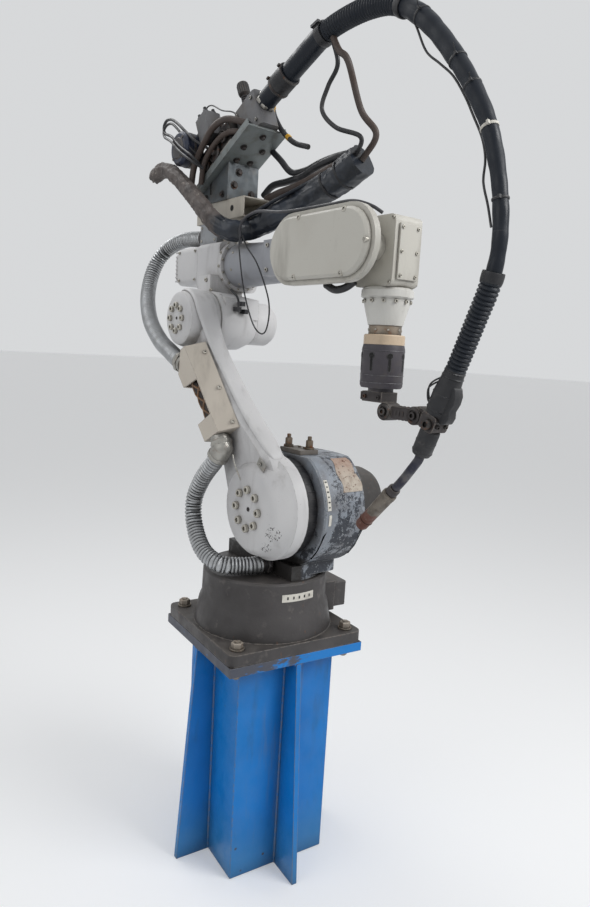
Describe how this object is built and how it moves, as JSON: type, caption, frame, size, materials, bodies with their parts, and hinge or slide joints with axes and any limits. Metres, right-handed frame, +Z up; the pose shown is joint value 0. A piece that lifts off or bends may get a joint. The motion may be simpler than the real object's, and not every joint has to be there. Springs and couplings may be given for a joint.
{
  "type": "industrial robot arm",
  "caption": "Jointed welding robot arm with a wire feeder on its elbow and a torch at its wrist, bolted to a finned steel pedestal.",
  "frame": {"origin": "on the floor under the middle of the pedestal, which is also where the axis of joint 1 meets the floor", "axes": "+Z is up, +X is the way the forearm points at rest, and Y runs along the axes of joints 2, 3 and 5"},
  "size_m": [1.3559, 0.5077, 2.1784],
  "materials": {
    "arm": "semi-gloss pale grey paint",
    "grey": "worn grey paint",
    "blue": "bright blue paint",
    "dark": "dark grey paint",
    "rubber": "black rubber",
    "steel": "bare steel",
    "brass": "braided brass-coloured sleeve",
    "plastic": "beige insulating plastic"
  },
  "bodies": {
    "base": {"pedestal_column": "blue", "pedestal_fin_front": "blue", "pedestal_fin_right": "blue", "pedestal_fin_back": "blue", "pedestal_fin_left": "blue", "pedestal_top_plate": "blue", "base_casting": "dark", "base_connector_box": "dark"},
    "turret": {"turret_casting": "grey", "joint_2_seal": "rubber", "joint_2_motor_cover": "grey", "lifting_plate": "steel", "lower_conduit_fitting": "dark"},
    "lower_arm": {"lower_arm": "arm", "cable_cover": "arm", "cable_sleeve": "brass", "lower_arm_gland": "steel", "upper_arm_gland": "steel", "lower_conduit": "steel"},
    "elbow": {"elbow_casting": "arm", "joint_3_motor_cover": "arm", "joint_4_motor_cover": "arm", "joint_4_flange": "arm", "elbow_cable_box": "grey", "elbow_cable_gland": "dark", "upper_conduit": "steel", "feeder_channel": "arm", "feeder_pillar": "steel", "feeder_tray": "steel", "feeder_rolls": "dark", "feeder_head": "grey", "feeder_wire_inlet": "grey", "feeder_motor": "dark", "feeder_knob": "dark", "cable_bundle": "rubber", "feed_sleeve": "grey", "gas_hose": "rubber"},
    "forearm": {"forearm_casting": "arm", "forearm_lid": "arm", "torch_cable_rear": "rubber"},
    "wrist": {"wrist_housing": "arm", "wrist_cover": "arm", "wrist_skirt": "arm", "torch_cable_middle": "rubber"},
    "tool": {"tool_flange": "steel", "insulating_ring": "plastic", "shock_sensor": "dark", "torch_bracket": "dark", "torch_holder": "dark", "torch_handle": "rubber", "torch_barrel": "rubber", "torch_neck": "dark", "torch_nozzle": "steel", "torch_cable_front": "rubber"}
  },
  "joints": [
    {"name": "joint_1", "type": "hinge", "parent": "base", "child": "turret", "pos_m": [0, 0, 0.8123], "axis": [0, 0, 1], "range_deg": [-255, 85]},
    {"name": "joint_2", "type": "hinge", "parent": "turret", "child": "lower_arm", "pos_m": [0.087, 0, 1], "axis": [0, 1, 0], "range_deg": [-40, 60], "deforming": ["lower_conduit"]},
    {"name": "joint_3", "type": "hinge", "parent": "lower_arm", "child": "elbow", "pos_m": [-0.185, 0, 1.472], "axis": [0, 1, 0], "range_deg": [-90, 15], "deforming": ["upper_conduit"]},
    {"name": "joint_4", "type": "hinge", "parent": "elbow", "child": "forearm", "pos_m": [-0.185, 0, 1.63], "axis": [1, 0, 0], "range_deg": [-120, 120], "deforming": ["torch_cable_rear", "gas_hose"]},
    {"name": "joint_5", "type": "hinge", "parent": "forearm", "child": "wrist", "pos_m": [0.407, 0, 1.63], "axis": [0, -1, 0], "range_deg": [-10, 120], "deforming": ["torch_cable_middle"]},
    {"name": "joint_6", "type": "hinge", "parent": "wrist", "child": "tool", "pos_m": [0.407, 0, 1.4655], "axis": [0, 0, 1], "range_deg": [-180, 180], "deforming": ["torch_cable_front"]}
  ]
}
